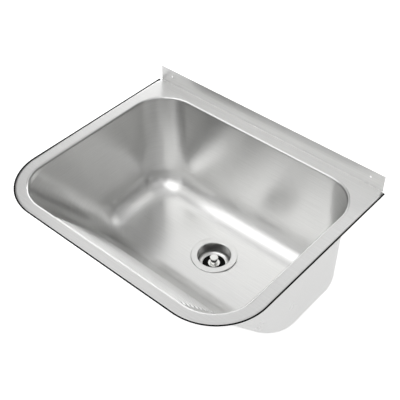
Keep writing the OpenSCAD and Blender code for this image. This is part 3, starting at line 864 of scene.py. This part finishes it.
quarterTurn = 0.25            # lays the stretched highlight across the grain lines
satin = {
    "colour": "#efefee",      # the grain swings between these two, mostly near their middle
    "darker": "#d5d5d4",
    "roughness": 0.29,
    "roughnessSpread": 0.01,
    "upstandRoughness": 0.4,
    "anisotropy": 0.6,
    "grainLength": 90.0,      # mm, drawn longer and wider than the real 0.2 mm grit lines,
    "grainWidth": 1.6,        # which are too fine to show at this size
    "grainLowest": 0.3,       # the noise seldom leaves this range
    "grainHighest": 0.7,
    "waveLength": 130.0,      # slow hand-polish unevenness
    "bump": 0.02,
    "bumpDepth": 0.01,        # m, as in the finishes below
}


def satinSteel(tree, settings, where, scale, tangent):
    # AISI 304 sheet, belt-ground to a satin: soft reflections that spread across the grain lines
    stretched = addNode(tree, "ShaderNodeMapping", {"Scale": scale}, {"Vector": where})
    grain = addNode(tree, "ShaderNodeTexNoise", {"Scale": 1.0, "Detail": 3.0, "Roughness": 0.6},
                    {"Vector": stretched.outputs[0]}).outputs["Fac"]
    wave = noiseOf(tree, settings["waveLength"], 2.0)
    rough = roughnessFrom(tree, settings, grain, settings["grainLowest"], settings["grainHighest"])
    return ({"Metallic": 1.0, "Anisotropic": settings["anisotropy"],
             "Anisotropic Rotation": quarterTurn},
            {"Base Color": mixedTint(tree, settings["darker"], settings["colour"], grain),
             "Roughness": rough, "Normal": bumpFrom(tree, settings, wave),
             "Tangent": tangent.outputs[0]})


def mappedSatin(tree, settings):
    # The grain follows the piece's own brush coordinates, in millimetres
    where = addNode(tree, "ShaderNodeUVMap", {"uv_map": "brush"}).outputs["UV"]
    scale = (1 / settings["grainLength"], 1 / settings["grainWidth"], 1)
    tangent = addNode(tree, "ShaderNodeTangent", {"direction_type": "UV_MAP", "uv_map": "brush"})
    return satinSteel(tree, settings, where, scale, tangent)


def straightSatin(tree, settings):
    # The grain runs along the wall
    along, across = 1 / mm / settings["grainLength"], 1 / mm / settings["grainWidth"]
    tangent = addNode(tree, "ShaderNodeCombineXYZ", {"X": 1.0})
    return satinSteel(tree, settings, objectSpace(tree), (along, across, across), tangent)


mill = {"colour": "#dcdcdb", "roughness": 0.26, "roughnessSpread": 0.04, "cloud": 45.0}


def millSteel(tree, settings):
    # The sheet's untouched underside, cold rolled: smooth and slightly milky, with no grain lines
    rough = roughnessFrom(tree, settings, noiseOf(tree, settings["cloud"], 4.0))
    return {"Metallic": 1.0, "Base Color": linear(settings["colour"])}, {"Roughness": rough}


lathe = {
    "colour": "#e2e2e1",
    "roughness": 0.3,
    "roughnessSpread": 0.04,
    "anisotropy": 0.4,
    "marks": 0.9,             # mm, the widest of the tool's rings
    "bump": 0.05,
    "bumpDepth": 0.0003,
    "axis": (0.0, (frontFace - bowl["wasteSetback"]) * mm, floorTop * mm),
}
buffed = {**lathe, "colour": "#dcdcda", "roughness": 0.13, "marks": 0.7}


def turnedSteel(tree, settings):
    # Lathe-turned and buffed stainless: bright, with faint rings about the axis
    centred = addNode(tree, "ShaderNodeVectorMath", {"operation": "SUBTRACT", 1: settings["axis"]},
                      {0: objectSpace(tree)}).outputs[0]
    flat = addNode(tree, "ShaderNodeVectorMath", {"operation": "MULTIPLY", 1: (1, 1, 0)},
                   {0: centred})
    radius = addNode(tree, "ShaderNodeVectorMath", {"operation": "LENGTH"}, {0: flat.outputs[0]})
    height = addNode(tree, "ShaderNodeSeparateXYZ", links={0: centred})
    ring = addNode(tree, "ShaderNodeMath", {"operation": "ADD"},
                   {0: radius.outputs["Value"], 1: height.outputs["Z"]})
    lines = addNode(tree, "ShaderNodeTexNoise",
                    {"noise_dimensions": "1D", "Scale": 1 / mm / settings["marks"], "Detail": 2.0},
                    {"W": ring.outputs[0]}).outputs["Fac"]
    tangent = addNode(tree, "ShaderNodeTangent", {"direction_type": "RADIAL", "axis": "Z"})
    return ({"Metallic": 1.0, "Base Color": linear(settings["colour"]),
             "Anisotropic": settings["anisotropy"], "Anisotropic Rotation": quarterTurn},
            {"Roughness": roughnessFrom(tree, settings, lines),
             "Normal": bumpFrom(tree, settings, lines), "Tangent": tangent.outputs[0]})


sealRubber = {
    "colour": "#070707",
    "bloom": "#101010",
    "roughness": 0.75,
    "roughnessSpread": 0.06,
    "speck": 0.8,
    "bump": 0.2,
    "bumpDepth": 0.0002,
    "ior": 1.52,
    "specular": 0.12,
}
dampingRubber = {**sealRubber, "colour": "#2b2b2d", "bloom": "#3a3a3b", "roughness": 0.8,
                 "speck": 1.6}


def mouldedRubber(tree, settings):
    # Moulded black rubber: dull, with a fine grain and a trace of grey bloom
    grain = noiseOf(tree, settings["speck"], 3.0)
    return ({"IOR": settings["ior"], "Specular IOR Level": settings["specular"]},
            {"Base Color": mixedTint(tree, settings["colour"], settings["bloom"], grain),
             "Roughness": roughnessFrom(tree, settings, grain),
             "Normal": bumpFrom(tree, settings, grain)})


nutPlastic = {
    "colour": "#e4e3dd",
    "shade": "#dad9d2",
    "roughness": 0.42,
    "ripple": 14.0,
    "bump": 0.15,
    "bumpDepth": 0.0004,
    "ior": 1.49,
    "glow": 0.15,             # light that comes back out of thin edges
    "glowReach": 0.004,
    "glowScale": 0.5,
}


def mouldedPlastic(tree, settings):
    # Injection-moulded polypropylene: waxy and slightly see-through at thin edges
    flow = noiseOf(tree, settings["ripple"], 2.0)
    return ({"IOR": settings["ior"], "Roughness": settings["roughness"],
             "Subsurface Weight": settings["glow"], "Subsurface Scale": settings["glowScale"],
             "Subsurface Radius": (settings["glowReach"],) * 3},
            {"Base Color": mixedTint(tree, settings["colour"], settings["shade"], flow),
             "Normal": bumpFrom(tree, settings, flow)})


washerFibre = {"colour": "#b98b58", "dark": "#8f6538", "roughness": 0.7, "fleck": 0.9, "ior": 1.5}


def pressedFibre(tree, settings):
    # Vulcanised fibre sheet: brown, close-grained, with short darker flecks
    flecks = noiseOf(tree, settings["fleck"], 5.0, 0.7)
    return ({"IOR": settings["ior"], "Roughness": settings["roughness"]},
            {"Base Color": mixedTint(tree, settings["dark"], settings["colour"], flecks)})


studio = {
    "floorDrop": 4.0,         # mm under the lowest point
    "floorSize": 12.0,        # m
    "floorSteps": 8,
    "floorColour": "#efefef",
    "floorRoughness": 0.9,
    "cameraGlow": 0.6,        # keeps the paper white in the picture
    "steelGlow": 0.36,        # and a little of that in the steel
    "skyHorizon": 0.12,
    "skyTop": 0.76,
    "skyEases": 0.5,          # sine of the 30 degrees above which it brightens
    "lampTarget": (0.0, -0.25, -0.15),
}
# Each soft box: azimuth and elevation in degrees, distance, width and height in metres, watts.
# Azimuth 0 is at the wall's side and 90 to the right.
softBoxes = {
    "frontBank": (-171, 51, 2.6, 4.2, 1.9, 35.0),
    "leftRearLow": (-33, 16, 3.2, 3.0, 1.4, 26.0),
    "leftRearHigh": (-34, 38, 3.0, 2.8, 2.2, 10.5),
    "leftTop": (-100, 61, 3.0, 1.2, 1.0, 1.3),
    "rightPanel": (105, 34, 3.0, 2.4, 1.6, 6.6),
}


def makeFloor(settings):
    size = settings["floorSize"] / 2
    z = cadBounds[0].z - settings["floorDrop"] * mm
    edge = np.linspace(-size, size, settings["floorSteps"] + 1)
    x, y = np.meshgrid(edge, edge[::-1])
    floor = gridPiece("studioFloor", np.stack([x, y, 0 * x + z], -1)[::-1])
    finish, tree = newFinish("whitePaper")
    path = addNode(tree, "ShaderNodeLightPath")
    seen = addNode(tree, "ShaderNodeMath", {"operation": "MULTIPLY", 1: settings["cameraGlow"]},
                   {0: path.outputs["Is Camera Ray"]})
    glow = addNode(tree, "ShaderNodeMath", {"operation": "MULTIPLY_ADD", 1: settings["steelGlow"]},
                   {0: path.outputs["Is Glossy Ray"], 2: seen.outputs[0]})
    paper = addNode(tree, "ShaderNodeBsdfPrincipled",
                    {"Base Color": linear(settings["floorColour"]),
                     "Roughness": settings["floorRoughness"], "Emission Color": (1, 1, 1, 1)},
                    {"Emission Strength": glow.outputs[0]})
    output(tree, paper)
    floor.data.materials.append(finish)


def makeLamps(boxes, target):
    for name, (azimuth, elevation, distance, width, height, watts) in boxes.items():
        a, e = math.radians(azimuth), math.radians(elevation)
        way = np.array([math.sin(a) * math.cos(e), math.cos(a) * math.cos(e), math.sin(e)])
        lamp = bpy.data.lights.new(name, "AREA")
        lamp.shape = "RECTANGLE"
        lamp.size, lamp.size_y = width, height
        lamp.energy = watts
        box = bpy.data.objects.new(name, lamp)
        bpy.context.collection.objects.link(box)
        box.location = np.array(target) + way * distance
        turn = Matrix.Rotation(-a, 4, "Z") @ Matrix.Rotation(e - math.pi / 2, 4, "X")
        box.rotation_euler = turn.to_euler()


def makeSky(settings):
    world = bpy.data.worlds.new("studio")
    bpy.context.scene.world = world
    world.use_nodes = True
    tree = world.node_tree
    tree.nodes.clear()
    # Brighter overhead, easing in above 30 degrees, and plain white to the camera
    way = addNode(tree, "ShaderNodeTexCoord").outputs["Generated"]
    height = addNode(tree, "ShaderNodeSeparateXYZ", links={0: way})
    ceiling = addNode(tree, "ShaderNodeMapRange",
                      {"interpolation_type": "SMOOTHSTEP", "From Min": settings["skyEases"],
                       "From Max": 1.0, "To Min": settings["skyHorizon"],
                       "To Max": settings["skyTop"]}, {"Value": height.outputs["Z"]})
    path = addNode(tree, "ShaderNodeLightPath")
    level = addNode(tree, "ShaderNodeMapRange", {"To Max": 1.0},
                    {"Value": path.outputs["Is Camera Ray"], "To Min": ceiling.outputs[0]})
    sky = addNode(tree, "ShaderNodeBackground", {"Color": (1, 1, 1, 1)},
                  {"Strength": level.outputs[0]})
    addNode(tree, "ShaderNodeOutputWorld", links={"Surface": sky.outputs[0]})


# Camera fitted to the photograph's straight edges: place in metres, angles in degrees
view = {
    "eye": (0.8031, -1.1321, 1.0608),
    "yaw": 41.097,
    "pitch": -43.007,
    "roll": -0.126,
    "lens": 72.3,             # mm, on this sensor
    "sensor": 36.0,
    "farthest": 50.0,
}


def makeCamera(settings):
    camera = bpy.data.objects.new("camera", bpy.data.cameras.new("camera"))
    bpy.context.collection.objects.link(camera)
    yaw, pitch, roll = (math.radians(settings[k]) for k in ("yaw", "pitch", "roll"))
    turn = (Matrix.Rotation(yaw, 4, "Z") @ Matrix.Rotation(math.pi / 2 + pitch, 4, "X")
            @ Matrix.Rotation(roll, 4, "Z"))
    camera.location = settings["eye"]
    camera.rotation_euler = turn.to_euler()
    camera.data.lens = settings["lens"]
    camera.data.sensor_width = settings["sensor"]
    camera.data.clip_end = settings["farthest"]
    bpy.context.scene.camera = camera


sheetSatin = shaded("satinStainlessSheet", mappedSatin, satin)
upstandSatin = shaded("satinStainlessUpstand", straightSatin,
                      {**satin, "roughness": satin["upstandRoughness"]})
sheetMill = shaded("coldRolledSteel", millSteel, mill)
turned = shaded("turnedStainlessWaste", turnedSteel, lathe)
polished = shaded("buffedStainlessKnob", turnedSteel, buffed)
blackRubber = shaded("mouldedBlackRubber", mouldedRubber, sealRubber)
padRubber = shaded("pressedDampingRubber", mouldedRubber, dampingRubber)
whitePlastic = shaded("mouldedPolypropylene", mouldedPlastic, nutPlastic)
brownFibre = shaded("pressedFibreSheet", pressedFibre, washerFibre)
print("finishes")

makeCamera(view)
makeBowl(sheetSatin, sheetMill)
makeDeck(sheetSatin)
makeEdgeSeal(blackRubber)
makeWaste(turned)
makeGaskets(blackRubber, brownFibre)
makeLockNut(whitePlastic)
makeCouplingNut(whitePlastic)
makeTailpiece(blackRubber, turned)
makeStopperDisc(blackRubber)
makeKnob(polished)
makeStem(polished)
makeClamp(polished)
makePads(padRubber)
for nodeName, finish in (("rear_upstand", upstandSatin), ("strainer_plate", turned)):
    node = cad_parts[nodeName]
    node.data.materials.clear()
    node.data.materials.append(finish)
makeFloor(studio)
makeSky(studio)
makeLamps(softBoxes, studio["lampTarget"])
print("studio")
bpy.context.scene.view_settings.view_transform = "Standard"
